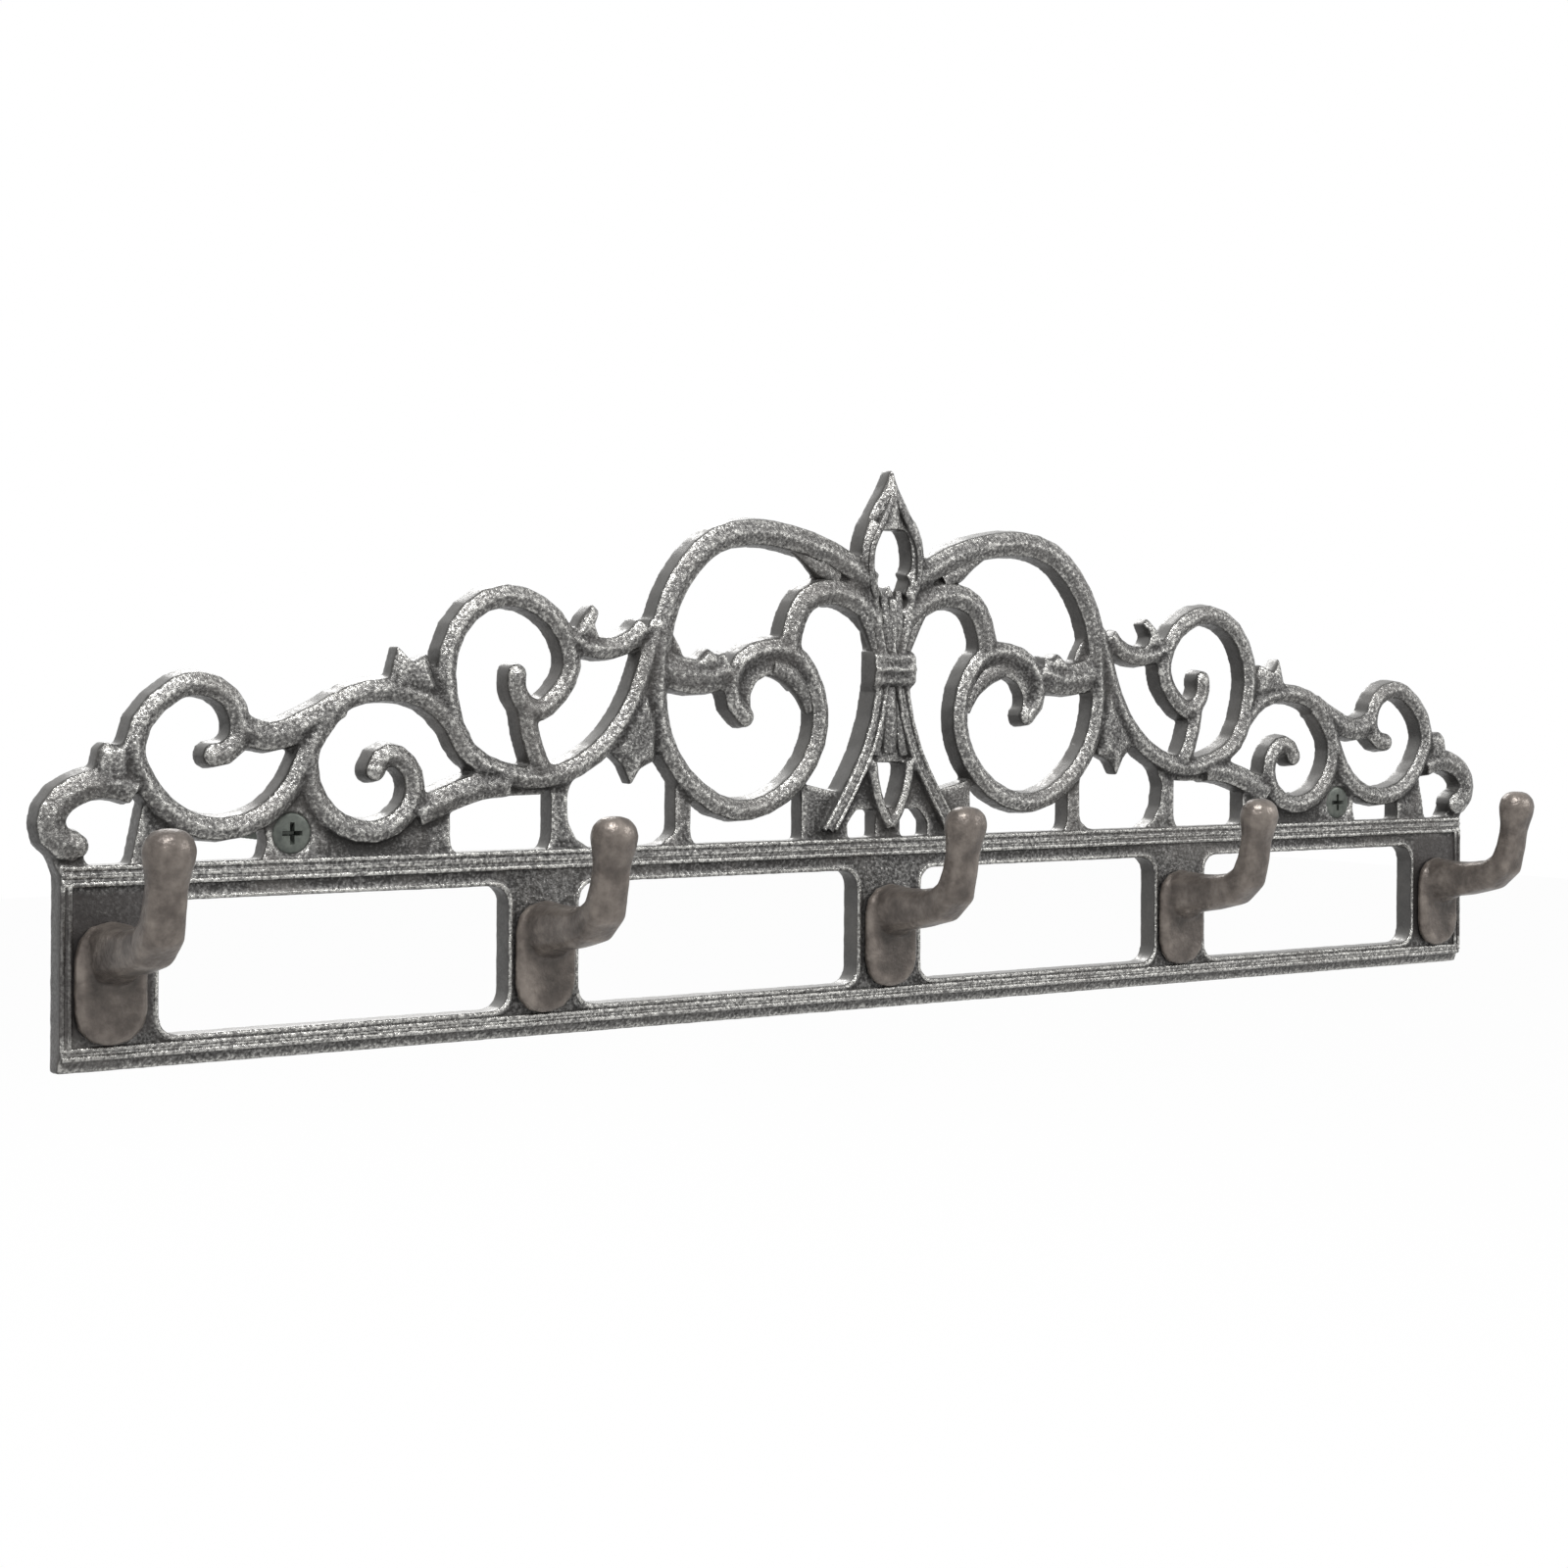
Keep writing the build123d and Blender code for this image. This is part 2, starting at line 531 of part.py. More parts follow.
def hook(x):
    """One hook: tongue-shaped pad, upturned arm with a knob, and the tenon behind the pad."""
    pad = []
    for depth, inset in ((0, 0), (PAD_THICK - PAD_BEVEL, 0), (PAD_THICK, PAD_BEVEL)):
        outline = soft_corners(PAD_WIDTH - 2 * inset, PAD_HEIGHT - 2 * inset, PAD_CORNER - inset)
        pad.append([Vector(x + dx, -PANEL_THICK - depth, SEAT_HEIGHT + dz) for dx, dz in outline])
    arm = []
    for depth, height, tilt, width, thick, power in arm_sections():
        up = Vector(0, sin(radians(tilt)), cos(radians(tilt)))
        ring = []
        for k in range(HOOK_SIDES):
            turn = 2 * pi * k / HOOK_SIDES
            across = copysign(abs(cos(turn)) ** power, cos(turn)) * width / 2
            rise = copysign(abs(sin(turn)) ** power, sin(turn)) * thick / 2
            ring.append(Vector(x + across, -depth, height) + up * rise)
        arm.append(ring)
    return skin(pad).fuse(skin(arm), tenon(x))


os.makedirs("parts", exist_ok=True)
to_origin = Pos(0, 0, -SCREW_HEIGHT)
export_step(to_origin * scroll_plate(), "parts/scroll_plate.step")
export_step(to_origin * wall_screws(), "parts/wall_screws.step")
for name, x in HOOK_X.items():
    export_step(to_origin * hook(x), f"parts/{name}.step")
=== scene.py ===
"""A cast-iron key hook rack: scroll plate, five hooks and two wall screws, dressed round its solids."""

import logging
import math
from dataclasses import dataclass
from enum import Enum

import bpy
from mathutils import Matrix, Vector


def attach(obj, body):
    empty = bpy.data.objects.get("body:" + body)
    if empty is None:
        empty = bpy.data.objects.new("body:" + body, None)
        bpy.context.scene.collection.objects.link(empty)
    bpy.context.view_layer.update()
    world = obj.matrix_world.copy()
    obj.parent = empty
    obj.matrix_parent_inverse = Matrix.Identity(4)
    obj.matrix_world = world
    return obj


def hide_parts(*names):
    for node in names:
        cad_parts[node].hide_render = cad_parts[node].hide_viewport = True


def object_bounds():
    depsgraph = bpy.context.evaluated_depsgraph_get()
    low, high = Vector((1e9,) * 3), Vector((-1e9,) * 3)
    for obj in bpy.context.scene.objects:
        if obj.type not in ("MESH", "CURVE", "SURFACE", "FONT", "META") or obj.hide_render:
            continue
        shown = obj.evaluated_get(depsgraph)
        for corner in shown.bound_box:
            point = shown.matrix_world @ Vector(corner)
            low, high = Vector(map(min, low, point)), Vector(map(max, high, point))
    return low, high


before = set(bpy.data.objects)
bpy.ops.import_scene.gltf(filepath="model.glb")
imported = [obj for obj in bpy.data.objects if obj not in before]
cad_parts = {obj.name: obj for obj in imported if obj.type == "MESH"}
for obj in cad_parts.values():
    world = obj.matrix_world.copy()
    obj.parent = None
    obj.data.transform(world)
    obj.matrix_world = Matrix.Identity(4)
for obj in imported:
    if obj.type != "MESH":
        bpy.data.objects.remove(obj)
CAD_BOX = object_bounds()

MM = 0.001
WELD_MM = 0.002
SOFTENING = 0.5
BODY = "root"
WHITE = (1.0, 1.0, 1.0, 1.0)
LOG = logging.getLogger("key_hook_rack")

# A bead's points: x, depth from the wall, z and radius in mm
BeadLine = tuple[tuple[float, ...], ...]


class Slot(Enum):
    """The record's material slots, one for each finish."""

    PLATE = "plate_iron"
    HOOK = "hook_iron"
    SCREW = "screw_steel"


def linear(colour: str) -> tuple[float, float, float, float]:
    """Turns an sRGB hex colour into the linear values that shader sockets take.

    Args:
        colour: The colour as "#rrggbb".

    Returns:
        Linear red, green, blue and an alpha of 1.
    """
    channels = [int(colour[i : i + 2], 16) / 255 for i in (1, 3, 5)]
    red, green, blue = [c / 12.92 if c <= 0.04045 else ((c + 0.055) / 1.055) ** 2.4 for c in channels]
    return red, green, blue, 1.0


def add_node(
    tree: bpy.types.NodeTree,
    kind: str,
    inputs: dict | None = None,
    stops: list[tuple[float, str]] | None = None,
    **settings: object,
) -> bpy.types.Node:
    """Adds a node to a tree with its settings, and fills or links its inputs.

    Args:
        tree: The shader or geometry tree.
        kind: The node's type name.
        inputs: Socket name or number to a plain value or to another node's output socket.
        stops: A colour ramp's places from 0 to 1, each with its hex colour.
        **settings: The node's own properties.

    Returns:
        The new node.
    """
    node = tree.nodes.new(kind)
    for key, value in settings.items():
        setattr(node, key, value)
    for key, value in (inputs or {}).items():
        if isinstance(value, bpy.types.NodeSocket):
            tree.links.new(value, node.inputs[key])
        else:
            node.inputs[key].default_value = value
    for k, (place, colour) in enumerate(stops or []):
        bars = node.color_ramp.elements
        bar = bars[k] if k < len(bars) else bars.new(place)
        bar.position = place
        bar.color = linear(colour)
    return node


def empty_material(name: str) -> tuple[bpy.types.Material, bpy.types.NodeTree]:
    """Makes a material with an empty tree.

    Args:
        name: The material's name.

    Returns:
        The material and its tree.
    """
    material = bpy.data.materials.new(name)
    material.use_nodes = True
    material.node_tree.nodes.clear()
    return material, material.node_tree


def open_tree(name: str, sizes: tuple[str, ...]) -> tuple[bpy.types.NodeTree, bpy.types.NodeOutputs]:
    """Starts a geometry tree that takes a mesh, named sizes and a finish.

    Args:
        name: The tree's name.
        sizes: The names of its number inputs.

    Returns:
        The tree and what it is given, by input name.
    """
    tree = bpy.data.node_groups.new(name, "GeometryNodeTree")
    tree.interface.new_socket("Geometry", in_out="INPUT", socket_type="NodeSocketGeometry")
    for size in sizes:
        tree.interface.new_socket(size, in_out="INPUT", socket_type="NodeSocketFloat")
    tree.interface.new_socket("Finish", in_out="INPUT", socket_type="NodeSocketMaterial")
    tree.interface.new_socket("Geometry", in_out="OUTPUT", socket_type="NodeSocketGeometry")
    return tree, add_node(tree, "NodeGroupInput").outputs


def close_tree(tree: bpy.types.NodeTree, made: bpy.types.NodeSocket, finish: bpy.types.NodeSocket) -> None:
    """Ends a geometry tree with real geometry in its finish.

    Args:
        tree: The geometry tree.
        made: What it has made.
        finish: The finish that it was given.
    """
    whole = add_node(tree, "GeometryNodeRealizeInstances", {"Geometry": made}).outputs[0]
    dressed = add_node(
        tree,
        "GeometryNodeSetMaterial",
        {"Geometry": whole, "Material": finish},
    ).outputs[0]
    add_node(tree, "NodeGroupOutput", {"Geometry": dressed})


def plain_mesh(piece: bpy.types.Object) -> None:
    """Turns a piece's modifiers into a plain mesh and removes them.

    Args:
        piece: The object to settle.
    """
    bpy.context.view_layer.update()
    graph = bpy.context.evaluated_depsgraph_get()
    mesh = bpy.data.meshes.new_from_object(piece.evaluated_get(graph))
    mesh.name = piece.name
    piece.modifiers.clear()
    piece.data = mesh


def run_tree(
    piece: bpy.types.Object,
    tree: bpy.types.NodeTree,
    finish: bpy.types.Material,
    sizes: dict[str, float],
) -> None:
    """Runs a geometry tree on a piece and keeps what it makes as the piece's plain mesh.

    Args:
        piece: The piece.
        tree: The geometry tree.
        finish: The material.
        sizes: The value of each of its number inputs.
    """
    modifier = piece.modifiers.new(tree.name, "NODES")
    modifier.node_group = tree
    keys = {s.name: s.identifier for s in tree.interface.items_tree if s.in_out == "INPUT"}
    for name, value in sizes.items():
        modifier[keys[name]] = value
    modifier[keys["Finish"]] = finish
    plain_mesh(piece)


@dataclass(frozen=True)
class SandCastIron:
    """Sand-cast grey iron under thin dark wax: grainy, glinting faces and plain drafted sides."""

    name: str = "sand_cast_iron"
    pit: str = "#2e2d2c"
    body: str = "#545352"
    grain: str = "#767573"
    glint: str = "#b5b4b0"
    side: str = "#464544"
    side_lit: str = "#7a7977"
    panel: str = "#403d3c"
    earth: str = "#63605d"
    metallic: float = 0.75
    roughness: float = 0.36
    grit_mm: float = 0.56
    stain_mm: float = 14.0
    grit_height_mm: float = 0.26
    # Where the smooth, darker panels at the plate's two ends begin, in X and in Z
    end_panel_mm: float = 151.2
    panel_low_mm: float = -32.0
    panel_high_mm: float = -8.0
    panel_cover: float = 0.75
    panel_grain: float = 0.2
    # Slants of the surface over which sides turn into faces, and over which sides turn from their
    # painted-shade colour to their painted-light colour as they face upward
    face_slant: tuple[float, float] = (0.25, 0.7)
    lit_side_slant: tuple[float, float] = (-0.1, 0.8)
    ahead_slant: float = -0.5
    # How much crests get painted highlight and hollows painted shade, how much painted shade darkens the
    # edges between sides and faces, and how much sides are still grained
    crest_shading: float = 0.4
    edge_shade: float = 2.4
    side_grain: float = 0.12
    stain_span: tuple[float, float] = (0.48, 0.72)
    stain_most: float = 0.5

    def build(self) -> bpy.types.Material:
        """Builds the material.

        Returns:
            The finished material.
        """
        material, tree = empty_material(self.name)
        where = add_node(tree, "ShaderNodeTexCoord").outputs
        place = where["Object"]
        grit = add_node(
            tree,
            "ShaderNodeTexNoise",
            {"Vector": place, "Scale": 1 / (self.grit_mm * MM), "Detail": 3.0, "Roughness": 0.6},
        ).outputs["Fac"]
        stain = add_node(
            tree,
            "ShaderNodeTexNoise",
            {"Vector": place, "Scale": 1 / (self.stain_mm * MM), "Detail": 4.0, "Roughness": 0.6},
        ).outputs["Fac"]
        crest = add_node(tree, "ShaderNodeAttribute", attribute_name="crest").outputs["Fac"]
        normal = add_node(tree, "ShaderNodeSeparateXYZ", {0: where["Normal"]}).outputs
        flat = add_node(tree, "ShaderNodeMath", {0: normal["Y"]}, operation="ABSOLUTE").outputs[0]
        front = add_node(
            tree,
            "ShaderNodeMapRange",
            {"Value": flat, "From Min": self.face_slant[0], "From Max": self.face_slant[1]},
        ).outputs[0]
        spot = add_node(tree, "ShaderNodeSeparateXYZ", {0: place}).outputs
        outward = add_node(tree, "ShaderNodeMath", {0: spot["X"]}, operation="ABSOLUTE").outputs[0]
        ahead = add_node(
            tree,
            "ShaderNodeMapRange",
            {"Value": normal["Y"], "From Min": 0.0, "From Max": self.ahead_slant},
        ).outputs[0]
        end = add_node(
            tree,
            "ShaderNodeMapRange",
            {
                "Value": outward,
                "From Min": self.end_panel_mm * MM,
                "From Max": (self.end_panel_mm + 1) * MM,
                "To Max": ahead,
            },
        ).outputs[0]
        above = add_node(
            tree,
            "ShaderNodeMapRange",
            {
                "Value": spot["Z"],
                "From Min": self.panel_low_mm * MM,
                "From Max": (self.panel_low_mm + 1) * MM,
                "To Max": end,
            },
        ).outputs[0]
        panel = add_node(
            tree,
            "ShaderNodeMapRange",
            {
                "Value": spot["Z"],
                "From Min": self.panel_high_mm * MM,
                "From Max": (self.panel_high_mm - 1) * MM,
                "To Max": above,
            },
        ).outputs[0]
        grainy = add_node(
            tree,
            "ShaderNodeMapRange",
            {"Value": panel, "To Min": front, "To Max": self.panel_grain},
        ).outputs[0]
        # Crests on the faces are painted lighter and hollows darker, as painted highlight and painted
        # shade; the ramp's brightest colour, glint, is a painted glint
        proud = add_node(tree, "ShaderNodeMath", {0: crest, 1: 0.5}, operation="SUBTRACT").outputs[0]
        lit_crest = add_node(tree, "ShaderNodeMath", {0: proud, 1: front}, operation="MULTIPLY").outputs[0]
        lifted = add_node(
            tree,
            "ShaderNodeMath",
            {0: lit_crest, 1: self.crest_shading, 2: grit},
            operation="MULTIPLY_ADD",
        ).outputs[0]
        speckled = add_node(
            tree,
            "ShaderNodeValToRGB",
            {"Fac": lifted},
            [(0.34, self.pit), (0.5, self.body), (0.64, self.grain), (0.78, self.glint)],
        ).outputs["Color"]
        # Sides that face upward are painted lighter and the others darker: painted light and painted shade
        side_light = add_node(
            tree,
            "ShaderNodeMapRange",
            {"Value": normal["Z"], "From Min": self.lit_side_slant[0], "From Max": self.lit_side_slant[1]},
        ).outputs[0]
        wall = add_node(
            tree,
            "ShaderNodeMix",
            {"Factor": side_light, 6: linear(self.side), 7: linear(self.side_lit)},
            data_type="RGBA",
        ).outputs[2]
        plain = add_node(
            tree,
            "ShaderNodeMix",
            {"Factor": front, 6: wall, 7: speckled},
            data_type="RGBA",
        ).outputs[2]
        # A painted shade line in the pit colour darkens the band where a side turns into a face
        back = add_node(tree, "ShaderNodeMath", {0: 1.0, 1: front}, operation="SUBTRACT").outputs[0]
        edge = add_node(tree, "ShaderNodeMath", {0: front, 1: back}, operation="MULTIPLY").outputs[0]
        line = add_node(
            tree,
            "ShaderNodeMath",
            {0: edge, 1: self.edge_shade},
            operation="MULTIPLY",
        ).outputs[0]
        iron = add_node(
            tree,
            "ShaderNodeMix",
            {"Factor": line, 6: plain, 7: linear(self.pit)},
            data_type="RGBA",
        ).outputs[2]
        warm = add_node(
            tree,
            "ShaderNodeMapRange",
            {
                "Value": stain,
                "From Min": self.stain_span[0],
                "From Max": self.stain_span[1],
                "To Max": self.stain_most,
            },
        ).outputs[0]
        earthy = add_node(
            tree,
            "ShaderNodeMix",
            {"Factor": warm, 6: iron, 7: linear(self.earth)},
            data_type="RGBA",
        ).outputs[2]
        covered = add_node(
            tree,
            "ShaderNodeMath",
            {0: panel, 1: self.panel_cover},
            operation="MULTIPLY",
        ).outputs[0]
        colour = add_node(
            tree,
            "ShaderNodeMix",
            {"Factor": covered, 6: earthy, 7: linear(self.panel)},
            data_type="RGBA",
        ).outputs[2]
        dull = add_node(
            tree,
            "ShaderNodeMapRange",
            {
                "Value": lifted,
                "From Min": 0.4,
                "From Max": 0.7,
                "To Min": self.roughness + 0.15,
                "To Max": self.roughness - 0.12,
            },
        ).outputs[0]
        depth = add_node(
            tree,
            "ShaderNodeMapRange",
            {"Value": grainy, "To Min": self.side_grain, "To Max": 1.0},
        ).outputs[0]
        bump = add_node(
            tree,
            "ShaderNodeBump",
            {"Height": grit, "Strength": depth, "Distance": self.grit_height_mm * MM},
        ).outputs["Normal"]
        shader = add_node(
            tree,
            "ShaderNodeBsdfPrincipled",
            {"Base Color": colour, "Metallic": self.metallic, "Roughness": dull, "Normal": bump},
        )
        add_node(tree, "ShaderNodeOutputMaterial", {"Surface": shader.outputs[0]})
        return material


@dataclass(frozen=True)
class TumbledIron:
    """Cast iron tumbled smooth and browned: a warm taupe with soft highlights and faint casting pits."""

    name: str = "tumbled_iron"
    shade: str = "#3d3834"
    body: str = "#57504b"
    lit_crest: str = "#7b736c"
    metallic: float = 0.45
    roughness: float = 0.36
    mottle_mm: float = 4.0
    pit_mm: float = 0.9
    pit_height_mm: float = 0.2
    pit_strength: float = 0.8
    crest_shading: float = 0.3

    def build(self) -> bpy.types.Material:
        """Builds the material.

        Returns:
            The finished material.
        """
        material, tree = empty_material(self.name)
        place = add_node(tree, "ShaderNodeTexCoord").outputs["Object"]
        mottle = add_node(
            tree,
            "ShaderNodeTexNoise",
            {"Vector": place, "Scale": 1 / (self.mottle_mm * MM), "Detail": 5.0, "Roughness": 0.62},
        ).outputs["Fac"]
        pits = add_node(
            tree,
            "ShaderNodeTexNoise",
            {"Vector": place, "Scale": 1 / (self.pit_mm * MM), "Detail": 2.0},
        ).outputs["Fac"]
        crest = add_node(tree, "ShaderNodeAttribute", attribute_name="crest").outputs["Fac"]
        # Crests are painted lighter and hollows darker over the mottle: painted highlight and painted
        # shade
        tone = add_node(
            tree,
            "ShaderNodeMath",
            {0: crest, 1: self.crest_shading, 2: mottle},
            operation="MULTIPLY_ADD",
        ).outputs[0]
        colour = add_node(
            tree,
            "ShaderNodeValToRGB",
            {"Fac": tone},
            [(0.42, self.shade), (0.67, self.body), (0.95, self.lit_crest)],
        ).outputs["Color"]
        dull = add_node(
            tree,
            "ShaderNodeMapRange",
            {"Value": mottle, "To Min": self.roughness + 0.12, "To Max": self.roughness - 0.08},
        ).outputs[0]
        bump = add_node(
            tree,
            "ShaderNodeBump",
            {"Height": pits, "Strength": self.pit_strength, "Distance": self.pit_height_mm * MM},
        ).outputs["Normal"]
        shader = add_node(
            tree,
            "ShaderNodeBsdfPrincipled",
            {"Base Color": colour, "Metallic": self.metallic, "Roughness": dull, "Normal": bump},
        )
        add_node(tree, "ShaderNodeOutputMaterial", {"Surface": shader.outputs[0]})
        return material


@dataclass(frozen=True)
class OiledSteel:
    """Oil-blackened steel of a wood screw: grey-green, smooth, with a soft sheen."""

    name: str = "oiled_screw_steel"
    body: str = "#464a46"
    scuff: str = "#666a64"
    metallic: float = 0.6
    roughness: float = 0.36
    scuff_mm: float = 1.6

    def build(self) -> bpy.types.Material:
        """Builds the material.

        Returns:
            The finished material.
        """
        material, tree = empty_material(self.name)
        place = add_node(tree, "ShaderNodeTexCoord").outputs["Object"]
        scuffs = add_node(
            tree,
            "ShaderNodeTexNoise",
            {"Vector": place, "Scale": 1 / (self.scuff_mm * MM), "Detail": 5.0, "Roughness": 0.65},
        ).outputs["Fac"]
        colour = add_node(
            tree,
            "ShaderNodeValToRGB",
            {"Fac": scuffs},
            [(0.35, self.body), (0.75, self.scuff)],
        ).outputs["Color"]
        dull = add_node(
            tree,
            "ShaderNodeMapRange",
            {"Value": scuffs, "To Min": self.roughness - 0.06, "To Max": self.roughness + 0.12},
        ).outputs[0]
        shader = add_node(
            tree,
            "ShaderNodeBsdfPrincipled",
            {"Base Color": colour, "Metallic": self.metallic, "Roughness": dull},
        )
        add_node(tree, "ShaderNodeOutputMaterial", {"Surface": shader.outputs[0]})
        return material


class CastingSkin:
    """A Geometry Nodes tree for a casting's uneven skin, with how far each point stands out stored as
    crest, for painted highlight on crests and painted shade in hollows.
    """

    # Share of a lump's height by which the skin is drawn in, so that it stays inside the solid's box
    SINK = 0.8
    # Rounds of blur that give the level that crests stand out from
    BLUR = 24

    def __init__(self) -> None:
        """Builds the tree once for all castings."""
        tree, given = open_tree("casting_skin", ("Lump Size", "Lump Height", "Crest Height"))
        place = add_node(tree, "GeometryNodeInputPosition").outputs[0]
        normal = add_node(tree, "GeometryNodeInputNormal").outputs[0]
        pitch = add_node(
            tree,
            "ShaderNodeMath",
            {0: 1.0, 1: given["Lump Size"]},
            operation="DIVIDE",
        ).outputs[0]
        lumps = add_node(
            tree,
            "ShaderNodeTexNoise",
            {"Vector": place, "Scale": pitch, "Detail": 2.0},
        ).outputs["Fac"]
        swing = add_node(tree, "ShaderNodeMath", {0: lumps, 1: self.SINK}, operation="SUBTRACT").outputs[0]
        rise = add_node(
            tree,
            "ShaderNodeMath",
            {0: swing, 1: given["Lump Height"]},
            operation="MULTIPLY",
        ).outputs[0]
        push = add_node(
            tree,
            "ShaderNodeVectorMath",
            {0: normal, "Scale": rise},
            operation="SCALE",
        ).outputs[0]
        mean = add_node(
            tree,
            "GeometryNodeBlurAttribute",
            {"Iterations": self.BLUR},
            data_type="FLOAT_VECTOR",
        )
        value_in = [s for s in mean.inputs if s.name == "Value" and s.type == "VECTOR"][0]
        tree.links.new(place, value_in)
        mean_out = [s for s in mean.outputs if s.type == "VECTOR"][0]
        lift = add_node(
            tree,
            "ShaderNodeVectorMath",
            {0: place, 1: mean_out},
            operation="SUBTRACT",
        ).outputs[0]
        proud = add_node(
            tree,
            "ShaderNodeVectorMath",
            {0: lift, 1: normal},
            operation="DOT_PRODUCT",
        ).outputs["Value"]
        sunk = add_node(
            tree,
            "ShaderNodeMath",
            {0: given["Crest Height"], 1: -1.0},
            operation="MULTIPLY",
        ).outputs[0]
        crest = add_node(
            tree,
            "ShaderNodeMapRange",
            {"Value": proud, "From Min": sunk, "From Max": given["Crest Height"]},
        ).outputs[0]
        marked = add_node(
            tree,
            "GeometryNodeStoreNamedAttribute",
            {"Geometry": given["Geometry"], "Name": "crest"},
            data_type="FLOAT",
            domain="POINT",
        )
        crest_in = [s for s in marked.inputs if s.name == "Value" and s.enabled][0]
        tree.links.new(crest, crest_in)
        skinned = add_node(
            tree,
            "GeometryNodeSetPosition",
            {"Geometry": marked.outputs[0], "Offset": push},
        ).outputs[0]
        close_tree(tree, skinned, given["Finish"])
        self.tree = tree


def casting_copy(node: str, name: str, voxel: float, passes: int) -> bpy.types.Object:
    """Copies a solid's mesh and softens the copy as a sand mould would.

    Args:
        node: The CAD node.
        name: The new piece's name.
        voxel: The new mesh's grid in mm.
        passes: How often it is smoothed.

    Returns:
        The new piece.
    """
    piece = bpy.data.objects.new(name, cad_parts[node].data.copy())
    piece.data.materials.clear()
    bpy.context.scene.collection.objects.link(piece)
    weld = piece.modifiers.new("weld", "WELD")
    weld.merge_threshold = WELD_MM * MM
    grid = piece.modifiers.new("grid", "REMESH")
    grid.mode = "VOXEL"
    grid.voxel_size = voxel * MM
    soft = piece.modifiers.new("soft", "SMOOTH")
    soft.factor = SOFTENING
    soft.iterations = passes
    plain_mesh(piece)
    return piece


def thin_out(piece: bpy.types.Object, most: int) -> None:
    """Merges the flattest of a piece's triangles until no more than the given number are left.

    Args:
        piece: The piece, of quadrangles.
        most: The most triangles it may keep.
    """
    triangles = 2 * len(piece.data.polygons)
    if triangles > most:
        thin = piece.modifiers.new("thin", "DECIMATE")
        thin.ratio = most / triangles
        plain_mesh(piece)


def finish_piece(piece: bpy.types.Object, slot: Slot, *nodes: str) -> None:
    """Shades a piece smooth, lets it ride on the body and hides the CAD nodes that it replaces.

    Args:
        piece: The finished piece.
        slot: Not used.
        *nodes: The CAD nodes that it replaces.
    """
    piece.data.polygons.foreach_set("use_smooth", [True] * len(piece.data.polygons))
    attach(piece, BODY)
    if nodes:
        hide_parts(*nodes)
    LOG.info("%s: %d faces", piece.name, len(piece.data.polygons))


@dataclass
class Casting:
    """What makes a casting of a solid's mesh. Lengths are in mm."""

    voxel: float
    passes: int
    most: int
    lump: float
    lump_height: float
    crest: float

    def cast(self, node: str, slot: Slot, skin: CastingSkin, finish: bpy.types.Material) -> None:
        """Makes and dresses the casting of one node.

        Args:
            node: The CAD node that it replaces.
            slot: The record's material slot.
            skin: The casting skin.
            finish: The material.
        """
        piece = casting_copy(node, "cast_" + node, self.voxel, self.passes)
        sizes = {
            "Lump Size": self.lump * MM,
            "Lump Height": self.lump_height * MM,
            "Crest Height": self.crest * MM,
        }
        run_tree(piece, skin.tree, finish, sizes)
        thin_out(piece, self.most)
        finish_piece(piece, slot, node)


@dataclass
class ScrollPlate(Casting):
    """The cast plate: a window frame with scrollwork on its top rail."""

    voxel: float = 0.33
    passes: int = 10
    most: int = 192000
    lump: float = 2.4
    lump_height: float = 0.22
    crest: float = 0.2

    def build(self, skin: CastingSkin, finish: bpy.types.Material) -> None:
        """Makes and dresses the plate.

        Args:
            skin: The casting skin.
            finish: The plate's material.
        """
        self.cast("scroll_plate", Slot.PLATE, skin, finish)


